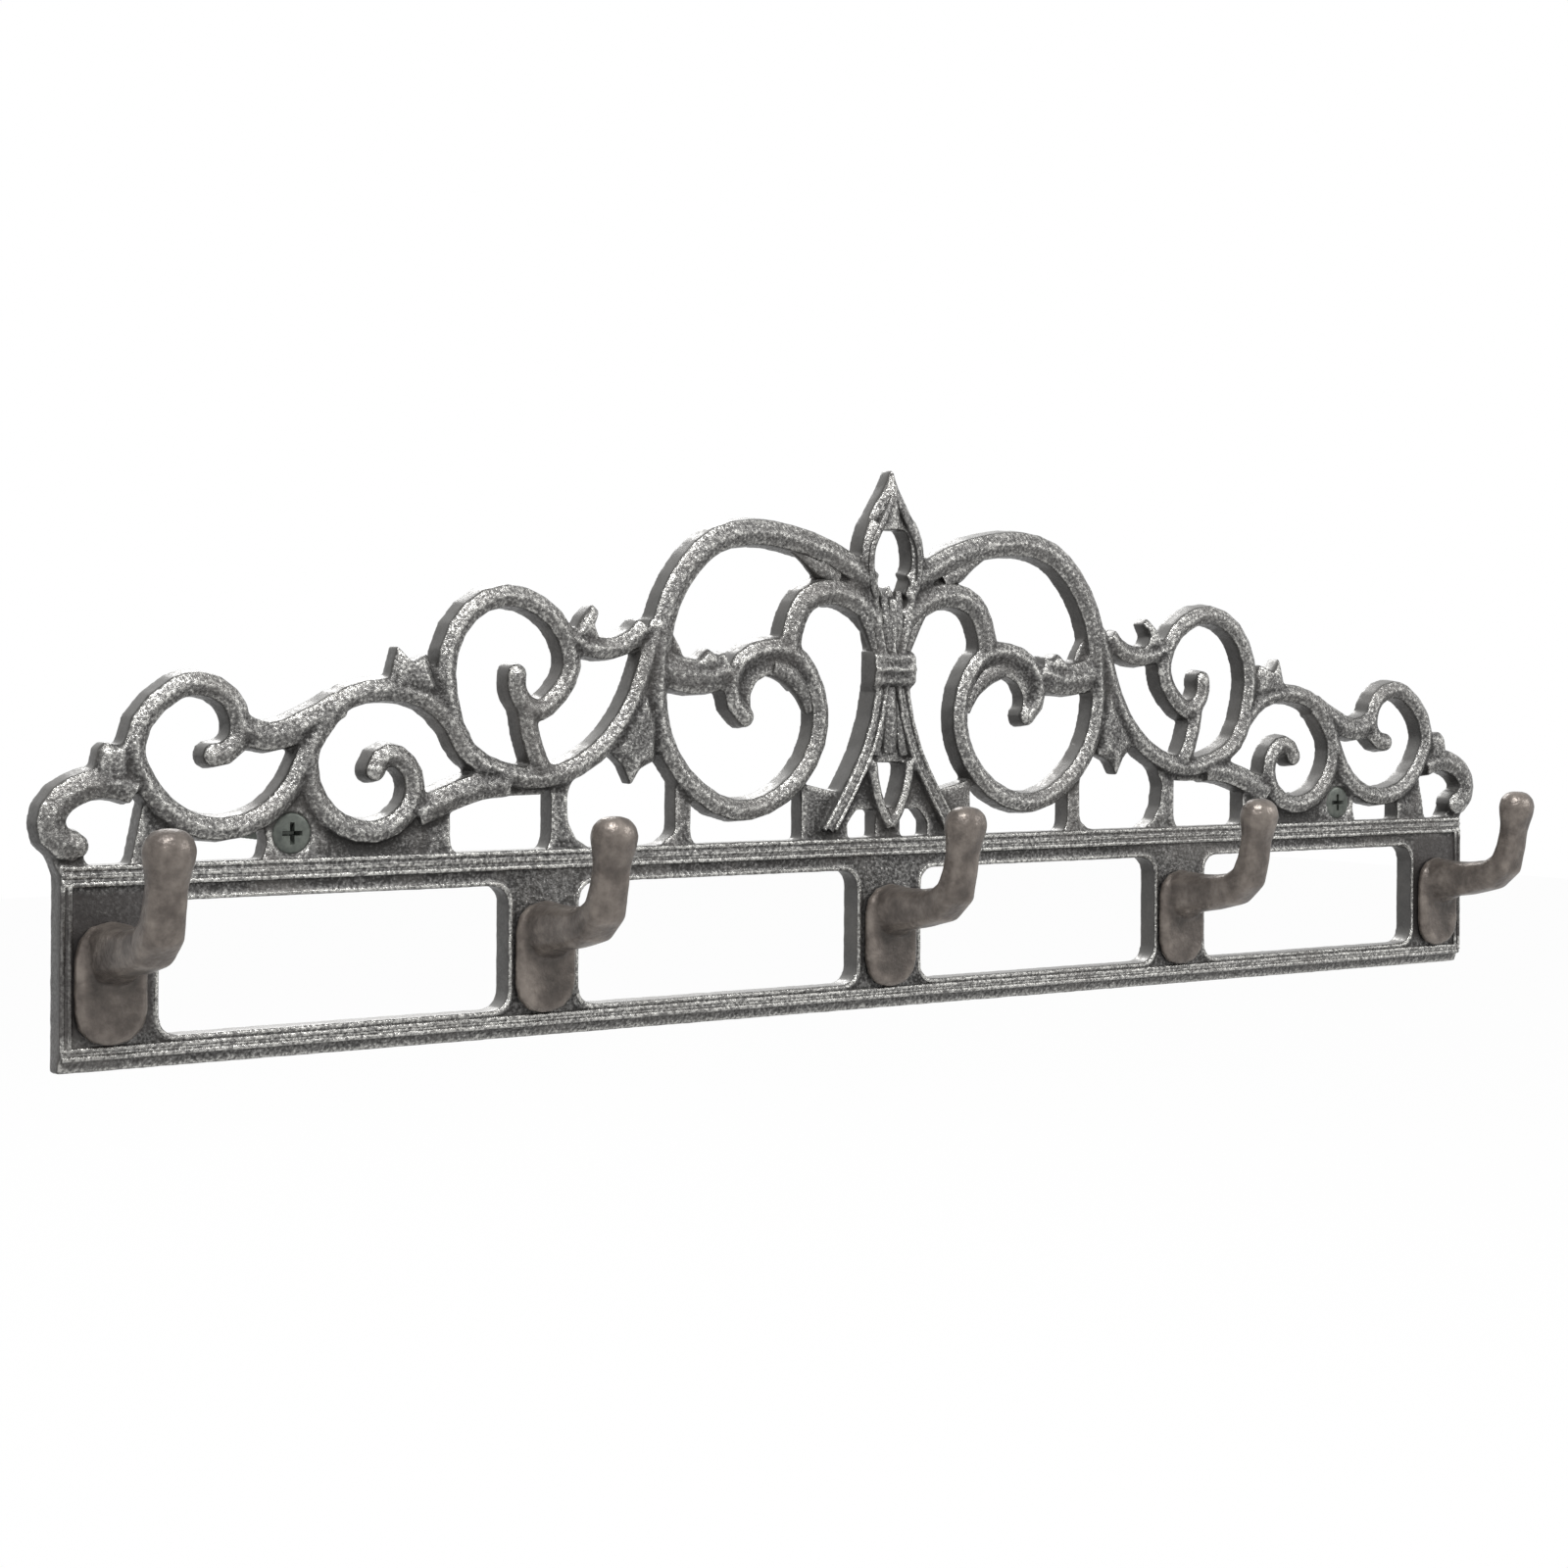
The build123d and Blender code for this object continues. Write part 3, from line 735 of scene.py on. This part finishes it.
class CastBead:
    """A Geometry Nodes tree that lays a rounded, slightly uneven bead along each line of points."""

    STEP = 0.6
    WANDER = 0.2
    WANDER_SIZE = 3.0
    SIDES = 10

    def __init__(self, name: str, curved: bool) -> None:
        """Builds the tree once for all beads of its kind.

        Args:
            name: The tree's name.
            curved: Whether the bead runs smoothly through its points.
        """
        tree, given = open_tree(name, ("Step", "Wander", "Wander Size", "Crest"))
        path = add_node(tree, "GeometryNodeMeshToCurve", {"Mesh": given["Geometry"]}).outputs[0]
        if curved:
            path = add_node(
                tree,
                "GeometryNodeCurveSplineType",
                {"Curve": path},
                spline_type="CATMULL_ROM",
            ).outputs[0]
        fine = add_node(
            tree,
            "GeometryNodeResampleCurve",
            {"Curve": path, "Length": given["Step"]},
            mode="LENGTH",
        ).outputs[0]
        thick = add_node(
            tree,
            "GeometryNodeInputNamedAttribute",
            {"Name": "thick"},
            data_type="FLOAT",
        ).outputs[0]
        sized = add_node(tree, "GeometryNodeSetCurveRadius", {"Curve": fine, "Radius": thick}).outputs[0]
        place = add_node(tree, "GeometryNodeInputPosition").outputs[0]
        pitch = add_node(
            tree,
            "ShaderNodeMath",
            {0: 1.0, 1: given["Wander Size"]},
            operation="DIVIDE",
        ).outputs[0]
        drift = add_node(
            tree,
            "ShaderNodeTexNoise",
            {"Vector": place, "Scale": pitch, "Detail": 2.0},
        ).outputs["Color"]
        centred = add_node(
            tree,
            "ShaderNodeVectorMath",
            {0: drift, 1: (0.5, 0.5, 0.5)},
            operation="SUBTRACT",
        ).outputs[0]
        shift = add_node(
            tree,
            "ShaderNodeVectorMath",
            {0: centred, "Scale": given["Wander"]},
            operation="SCALE",
        ).outputs[0]
        uneven = add_node(tree, "GeometryNodeSetPosition", {"Geometry": sized, "Offset": shift}).outputs[0]
        ring = add_node(
            tree,
            "GeometryNodeCurvePrimitiveCircle",
            {"Resolution": self.SIDES, "Radius": 1.0},
        ).outputs["Curve"]
        radius = add_node(tree, "GeometryNodeInputRadius").outputs[0]
        sweep = add_node(
            tree,
            "GeometryNodeCurveToMesh",
            {"Curve": uneven, "Profile Curve": ring, "Scale": radius, "Fill Caps": True},
        )
        marked = add_node(
            tree,
            "GeometryNodeStoreNamedAttribute",
            {"Geometry": sweep.outputs[0], "Name": "crest"},
            data_type="FLOAT",
            domain="POINT",
        )
        crest_in = [socket for socket in marked.inputs if socket.name == "Value" and socket.enabled][0]
        tree.links.new(given["Crest"], crest_in)
        close_tree(tree, marked.outputs[0], given["Finish"])
        self.tree = tree

    def lay(self, name: str, lines: list[BeadLine], crest: float, finish: bpy.types.Material) -> None:
        """Lays beads along lines and dresses them.

        Args:
            name: The new piece's name.
            lines: The beads, a line of points each.
            crest: How far the beads get painted highlight, from 0 to 1.
            finish: The material.
        """
        points, edges, radii = [], [], []
        for line in lines:
            first = len(points)
            points += [(x * MM, -depth * MM, z * MM) for x, depth, z, _ in line]
            radii += [radius * MM for *_, radius in line]
            edges += [(k, k + 1) for k in range(first, len(points) - 1)]
        mesh = bpy.data.meshes.new(name)
        mesh.from_pydata(points, edges, [])
        mesh.attributes.new("thick", "FLOAT", "POINT").data.foreach_set("value", radii)
        piece = bpy.data.objects.new(name, mesh)
        bpy.context.scene.collection.objects.link(piece)
        sizes = {
            "Step": self.STEP * MM,
            "Wander": self.WANDER * MM,
            "Wander Size": self.WANDER_SIZE * MM,
            "Crest": crest,
        }
        run_tree(piece, self.tree, finish, sizes)
        finish_piece(piece, Slot.PLATE)


@dataclass
class RailMouldings:
    """The cast beads along the rails, round the windows and down the ends of the frame."""

    half_width: float = 167.5
    face: float = 4.3
    top_rows: tuple[float, ...] = (-4.6, -5.9, -7.2)
    low_rows: tuple[float, ...] = (-33.7, -35.0)
    end_rows: tuple[float, ...] = (0.5, 1.7)
    window_low: float = -32.2
    window_high: float = -10.4
    window_spans: tuple[tuple[float, float], ...] = ((7.95, 70.7), (85.5, 150.6))
    rim: float = 0.55
    corner: float = 3.4
    corner_steps: int = 6
    bead: float = 0.5
    rim_bead: float = 0.42
    # How far the beads get painted highlight, from 0 to 1
    crest: float = 1.0

    def rows(self) -> list[BeadLine]:
        """Lists the straight beads.

        Returns:
            A line of points for each bead.
        """
        lines = []
        end = self.half_width - self.bead
        for z in self.top_rows + self.low_rows:
            lines.append(tuple((x, self.face, z, self.bead) for x in (-end, end)))
        ends = (self.low_rows[0], self.top_rows[-1])
        for inset in self.end_rows:
            for x in (inset - self.half_width, self.half_width - inset):
                lines.append(tuple((x, self.face, z, self.bead) for z in ends))
        return lines

    def rims(self) -> list[BeadLine]:
        """Lists the beads round the windows.

        Returns:
            A closed line of points for each window.
        """
        lines = []
        low = self.window_low - self.rim + self.corner
        high = self.window_high + self.rim - self.corner
        for near, far in self.window_spans:
            for side in (-1, 1):
                left, right = sorted((side * (near - self.rim), side * (far + self.rim)))
                left += self.corner
                right -= self.corner
                line = []
                for k, (x, z) in enumerate(((right, high), (left, high), (left, low), (right, low))):
                    for part in range(self.corner_steps + 1):
                        turn = math.pi / 2 * (k + part / self.corner_steps)
                        across = self.corner * math.cos(turn)
                        up = self.corner * math.sin(turn)
                        line.append((x + across, self.face, z + up, self.rim_bead))
                lines.append(tuple(line + line[:1]))
        return lines

    def build(self, bead: CastBead, finish: bpy.types.Material) -> None:
        """Makes and dresses the beads.

        Args:
            bead: The bead tree for straight lines.
            finish: The plate's material.
        """
        bead.lay("rail_beads", self.rows(), self.crest, finish)
        bead.lay("window_beads", self.rims(), self.crest, finish)


@dataclass
class CollarFlutes:
    """The sheaf's flutes above the collar, the ribbed legs, the spear's ridge and filled scroll crotches.

    Each is drawn for one half, with z from the top rail up.
    """

    rail_top: float = -4.7
    # How far the flutes get painted highlight, from 0 to 1
    crest: float = 0.7
    sheaf: tuple[BeadLine, ...] = (
        ((0.8, 4.3, 36.5, 1.1), (1.3, 4.3, 42.0, 1.5), (2.0, 3.8, 48.4, 0.9)),
        ((2.5, 4.3, 36.5, 1.1), (3.7, 4.3, 42.0, 1.6), (5.0, 4.1, 47.4, 1.2)),
        ((3.9, 4.2, 36.8, 1.0), (5.6, 4.2, 41.0, 1.3), (7.8, 4.4, 44.6, 1.1)),
    )
    crotches: tuple[BeadLine, ...] = (
        ((13.0, 3.4, 50.6, 1.8), (17.0, 3.4, 52.4, 2.0), (20.6, 3.6, 54.4, 1.2), (24.0, 3.8, 56.2, 0.8)),
        ((28.5, 3.8, 33.4, 1.8), (24.4, 3.7, 32.0, 2.2), (21.2, 3.6, 29.0, 1.8), (19.4, 3.6, 25.0, 1.2)),
    )
    legs: tuple[BeadLine, ...] = (
        ((2.5, 4.0, 29.8, 1.1), (5.8, 3.9, 17.5, 1.4), (9.9, 3.9, 10.2, 1.6), (15.0, 3.8, 2.4, 1.5)),
        ((0.0, 3.6, 29.8, 1.6), (0.0, 3.5, 22.0, 2.0), (0.0, 3.0, 17.2, 2.0)),
        ((1.0, 3.7, 29.8, 1.0), (2.6, 3.6, 21.0, 1.4), (3.6, 3.4, 16.6, 1.4)),
    )
    spear: tuple[BeadLine, ...] = (
        (
            (0.0, 4.3, 71.4, 0.4),
            (0.6, 5.2, 66.5, 0.7),
            (3.2, 5.5, 61.6, 0.8),
            (5.7, 5.6, 56.6, 0.8),
            (5.8, 5.5, 51.0, 0.8),
            (4.4, 5.2, 46.5, 0.7),
        ),
    )

    def build(self, bead: CastBead, finish: bpy.types.Material) -> None:
        """Makes and dresses the flutes.

        Args:
            bead: The bead tree for curved lines.
            finish: The plate's material.
        """
        sets = {
            "collar_sheaf": self.sheaf,
            "collar_legs": self.legs,
            "spear_ridge": self.spear,
            "scroll_crotches": self.crotches,
        }
        for name, half in sets.items():
            lines = []
            for line in half:
                # A line on the middle has no twin on the other side
                for side in (1, -1) if line[1][0] else (1,):
                    lines.append(tuple((side * x, depth, z + self.rail_top, r) for x, depth, z, r in line))
            bead.lay(name, lines, self.crest, finish)


@dataclass
class HookSet(Casting):
    """The five cast hooks, each tenoned through its upright."""

    voxel: float = 0.34
    passes: int = 18
    most: int = 40000
    lump: float = 4.0
    lump_height: float = 0.22
    crest: float = 0.16
    places: tuple[str, ...] = ("far_left", "left", "middle", "right", "far_right")

    def build(self, skin: CastingSkin, finish: bpy.types.Material) -> None:
        """Makes and dresses the hooks.

        Args:
            skin: The casting skin.
            finish: The hooks' material.
        """
        for place in self.places:
            self.cast("hook_" + place, Slot.HOOK, skin, finish)


@dataclass
class WallScrews:
    """The two countersunk wood screws that hold the plate, with a cross recess and a thread."""

    spacing: float = 254.0
    seat: float = 4.0
    head: float = 3.5
    neck: float = 1.75
    core: float = 1.2
    tip: float = 21.0
    point: float = 4.0
    thread_start: float = 1.0
    thread_clear: float = 0.8
    thread_point: float = 0.1
    thread_sides: int = 4
    turn_steps: int = 24
    pitch: float = 1.6
    bevel: float = 0.25
    crown: float = 0.06
    end: float = 0.15
    recess_span: float = 4.2
    recess_width: float = 0.95
    recess_depth: float = 1.6
    recess_lift: float = 0.5
    recess_taper: float = 0.5
    sides: int = 48
    sharp: float = 28.0

    def turned(self, profile: list[tuple[float, float]]) -> bpy.types.Mesh:
        """Turns a profile about the Y axis.

        Args:
            profile: Radius and depth of each ring in mm, from the head to the point.

        Returns:
            The closed mesh.
        """
        points = []
        for radius, depth in profile:
            for k in range(self.sides):
                turn = 2 * math.pi * k / self.sides
                points.append((radius * MM * math.cos(turn), depth * MM, radius * MM * math.sin(turn)))
        faces = [tuple(range(self.sides)), tuple(reversed(range(len(points) - self.sides, len(points))))]
        for ring in range(len(profile) - 1):
            for k in range(self.sides):
                after = (k + 1) % self.sides
                low = ring * self.sides
                high = low + self.sides
                faces.append((low + after, low + k, high + k, high + after))
        mesh = bpy.data.meshes.new("screw_body")
        mesh.from_pydata(points, [], faces)
        return mesh

    def recess(self) -> bpy.types.Mesh:
        """Makes the tapered cross that the driver's tip leaves room for.

        Returns:
            The closed mesh of the cross.
        """
        span = self.recess_span / 2
        half = self.recess_width / 2
        plus = []
        for turn in range(4):
            for x, z in ((span, -half), (span, half), (half, half)):
                for _ in range(turn):
                    x, z = -z, x
                plus.append((x, z))
        points = []
        levels = (
            (-self.seat - self.recess_lift, 1.0),
            (-self.seat + self.recess_depth, self.recess_taper),
        )
        for depth, scale in levels:
            points += [(x * scale * MM, depth * MM, z * scale * MM) for x, z in plus]
        count = len(plus)
        faces = [tuple(range(count)), tuple(reversed(range(count, 2 * count)))]
        for k in range(count):
            after = (k + 1) % count
            faces.append((after, k, count + k, count + after))
        mesh = bpy.data.meshes.new("cross_recess")
        mesh.from_pydata(points, [], faces)
        return mesh

    def tree(self) -> bpy.types.NodeTree:
        """Builds the tree that winds the thread and sets a screw at each end of the rack.

        Returns:
            The geometry tree.
        """
        sizes = ("Core", "Ridge", "Pitch", "Start", "Shank End", "Tip", "Spacing")
        tree, given = open_tree("screw_pair", sizes)
        ridge = add_node(
            tree,
            "GeometryNodeCurvePrimitiveCircle",
            {"Resolution": self.thread_sides, "Radius": given["Ridge"]},
        ).outputs["Curve"]
        joined = add_node(tree, "GeometryNodeJoinGeometry", {"Geometry": given["Geometry"]})
        runs = (
            (given["Start"], given["Shank End"], given["Core"]),
            (given["Shank End"], given["Tip"], self.thread_point * MM),
        )
        for begin, end, far in runs:
            run = add_node(tree, "ShaderNodeMath", {0: end, 1: begin}, operation="SUBTRACT").outputs[0]
            turns = add_node(
                tree,
                "ShaderNodeMath",
                {0: run, 1: given["Pitch"]},
                operation="DIVIDE",
            ).outputs[0]
            spiral = add_node(
                tree,
                "GeometryNodeCurveSpiral",
                {
                    "Resolution": self.turn_steps,
                    "Rotations": turns,
                    "Start Radius": given["Core"],
                    "End Radius": far,
                    "Height": run,
                },
            ).outputs[0]
            level = add_node(tree, "GeometryNodeSetCurveNormal", {"Curve": spiral}, mode="Z_UP").outputs[0]
            worm = add_node(
                tree,
                "GeometryNodeCurveToMesh",
                {"Curve": level, "Profile Curve": ridge, "Fill Caps": True},
            ).outputs[0]
            shift = add_node(tree, "ShaderNodeCombineXYZ", {"Y": begin}).outputs[0]
            laid = add_node(
                tree,
                "GeometryNodeTransform",
                {"Geometry": worm, "Translation": shift, "Rotation": (-math.pi / 2, 0.0, 0.0)},
            ).outputs[0]
            tree.links.new(laid, joined.inputs["Geometry"])
        half = add_node(
            tree,
            "ShaderNodeMath",
            {0: given["Spacing"], 1: -0.5},
            operation="MULTIPLY",
        ).outputs[0]
        first = add_node(tree, "ShaderNodeCombineXYZ", {"X": half}).outputs[0]
        stride = add_node(tree, "ShaderNodeCombineXYZ", {"X": given["Spacing"]}).outputs[0]
        ends = add_node(
            tree,
            "GeometryNodeMeshLine",
            {"Count": 2, "Start Location": first, "Offset": stride},
        ).outputs[0]
        pair = add_node(
            tree,
            "GeometryNodeInstanceOnPoints",
            {"Points": ends, "Instance": joined.outputs[0]},
        ).outputs[0]
        close_tree(tree, pair, given["Finish"])
        return tree

    def build(self, finish: bpy.types.Material) -> None:
        """Makes and dresses the screws.

        Args:
            finish: The screws' material.
        """
        profile = [
            (self.head - 2 * self.bevel, -self.seat),
            (self.head - self.bevel, -self.seat + self.crown),
            (self.head, -self.seat + self.bevel),
            (self.neck, self.neck + self.bevel - self.seat),
            (self.neck, 0.0),
            (self.core, self.thread_start),
            (self.core, self.tip - self.point),
            (self.end, self.tip),
        ]
        piece = bpy.data.objects.new("wall_screw_pair", self.turned(profile))
        cutter = bpy.data.objects.new("cross_recess", self.recess())
        for item in (piece, cutter):
            bpy.context.scene.collection.objects.link(item)
        cut = piece.modifiers.new("recess", "BOOLEAN")
        cut.operation = "DIFFERENCE"
        cut.solver = "EXACT"
        cut.object = cutter
        plain_mesh(piece)
        bpy.data.objects.remove(cutter)
        sizes = {
            "Core": self.core * MM,
            "Ridge": (self.neck - self.core) * MM,
            "Pitch": self.pitch * MM,
            "Start": self.thread_start * MM,
            "Shank End": (self.tip - self.point) * MM,
            "Tip": (self.tip - self.thread_clear) * MM,
            "Spacing": self.spacing * MM,
        }
        run_tree(piece, self.tree(), finish, sizes)
        finish_piece(piece, Slot.SCREW, "wall_screws")
        piece.data.set_sharp_from_angle(angle=math.radians(self.sharp))


@dataclass(frozen=True)
class Lamp:
    """A square studio lamp that faces the rack, in metres and watts."""

    name: str
    place: tuple[float, float, float]
    side: float
    power: float

    def hang(self) -> None:
        """Adds the lamp to the scene."""
        data = bpy.data.lights.new(self.name, "AREA")
        data.size = self.side
        data.energy = self.power
        lamp = bpy.data.objects.new(self.name, data)
        lamp.location = self.place
        lamp.rotation_euler = Vector(self.place).to_track_quat("Z", "Y").to_euler()
        bpy.context.scene.collection.objects.link(lamp)


@dataclass
class Studio:
    """White room, soft lamps and the photograph's camera."""

    eye: tuple[float, float, float] = (-0.32927, -0.42229, 0.02574)
    yaw: float = 36.0
    roll: float = 0.378
    lens: float = 62.655
    sensor: float = 36.0
    shift: float = -0.0644
    clip: float = 0.01
    floor_drop: float = 0.22
    floor_side: float = 6.0
    floor_colour: str = "#f4f4f3"
    # The floor shows the camera this share of pure white, and its shadow shows through the rest
    floor_white: float = 0.975
    room_light: float = 0.22
    lamps: tuple[Lamp, ...] = (
        Lamp("key", (-0.35, -0.75, 1.1), 0.35, 20.0),
        Lamp("side", (0.9, -0.9, 0.5), 0.5, 5.0),
        Lamp("back", (0.4, 1.1, 0.9), 0.6, 9.0),
    )

    def camera(self) -> None:
        """Sets the camera at the photograph's place."""
        yaw = math.radians(self.yaw)
        roll = math.radians(self.roll)
        ahead = Vector((math.sin(yaw), math.cos(yaw), 0.0))
        level = Vector((math.cos(yaw), -math.sin(yaw), 0.0))
        up = Vector((0.0, 0.0, 1.0))
        right = level * math.cos(roll) + up * math.sin(roll)
        above = up * math.cos(roll) - level * math.sin(roll)
        data = bpy.data.cameras.new("camera")
        data.lens = self.lens
        data.sensor_width = self.sensor
        data.shift_y = self.shift
        data.clip_start = self.clip
        eye = bpy.data.objects.new("camera", data)
        turn = Matrix((right, above, -ahead)).transposed().to_4x4()
        eye.matrix_world = Matrix.Translation(self.eye) @ turn
        bpy.context.scene.collection.objects.link(eye)
        bpy.context.scene.camera = eye

    def white(
        self,
        tree: bpy.types.NodeTree,
        lit: bpy.types.NodeSocket,
        strength: float,
    ) -> bpy.types.NodeSocket:
        """Shows white to the camera and to mirror and glass rays, and the lit surface to all others.

        Args:
            tree: The shader tree.
            lit: The shader that other rays meet.
            strength: How much of the white the camera sees.

        Returns:
            The mixed shader.
        """
        path = add_node(tree, "ShaderNodeLightPath").outputs
        seen = add_node(
            tree,
            "ShaderNodeMath",
            {0: path["Is Camera Ray"], 1: path["Is Glossy Ray"]},
            operation="MAXIMUM",
        ).outputs[0]
        seen = add_node(
            tree,
            "ShaderNodeMath",
            {0: seen, 1: path["Is Transmission Ray"]},
            operation="MAXIMUM",
        ).outputs[0]
        share = add_node(tree, "ShaderNodeMath", {0: seen, 1: strength}, operation="MULTIPLY").outputs[0]
        kind = "ShaderNodeBackground" if tree.nodes.get("World Output") else "ShaderNodeEmission"
        glow = add_node(tree, kind, {"Color": WHITE, "Strength": 1.0}).outputs[0]
        return add_node(tree, "ShaderNodeMixShader", {0: share, 1: lit, 2: glow}).outputs[0]

    def room(self) -> None:
        """Builds the white world and the pale floor that keeps a faint shadow."""
        world = bpy.data.worlds.new("studio")
        world.use_nodes = True
        tree = world.node_tree
        tree.nodes.clear()
        end = add_node(tree, "ShaderNodeOutputWorld", name="World Output")
        soft = add_node(
            tree,
            "ShaderNodeBackground",
            {"Color": WHITE, "Strength": self.room_light},
        ).outputs[0]
        tree.links.new(self.white(tree, soft, 1.0), end.inputs["Surface"])
        bpy.context.scene.world = world
        half = self.floor_side / 2
        low = CAD_BOX[0].z - self.floor_drop
        corners = [(-half, -half, low), (half, -half, low), (half, half, low), (-half, half, low)]
        mesh = bpy.data.meshes.new("floor")
        mesh.from_pydata(corners, [], [(0, 1, 2, 3)])
        floor = bpy.data.objects.new("floor", mesh)
        bpy.context.scene.collection.objects.link(floor)
        material, tree = empty_material("pale_floor")
        matt = add_node(tree, "ShaderNodeBsdfDiffuse", {"Color": linear(self.floor_colour)}).outputs[0]
        add_node(tree, "ShaderNodeOutputMaterial", {"Surface": self.white(tree, matt, self.floor_white)})
        mesh.materials.append(material)

    def build(self) -> None:
        """Sets up the room, the lamps and the camera."""
        self.room()
        for lamp in self.lamps:
            lamp.hang()
        self.camera()
        bpy.context.scene.view_settings.view_transform = "Standard"


def main() -> None:
    """Builds the rack piece by piece, then the studio."""
    logging.basicConfig(level=logging.INFO, format="%(name)s %(message)s")
    skin = CastingSkin()
    plate_iron = SandCastIron().build()
    ScrollPlate().build(skin, plate_iron)
    RailMouldings().build(CastBead("straight_bead", False), plate_iron)
    CollarFlutes().build(CastBead("curved_bead", True), plate_iron)
    HookSet().build(skin, TumbledIron().build())
    WallScrews().build(OiledSteel().build())
    Studio().build()


if __name__ == "__main__":
    main()
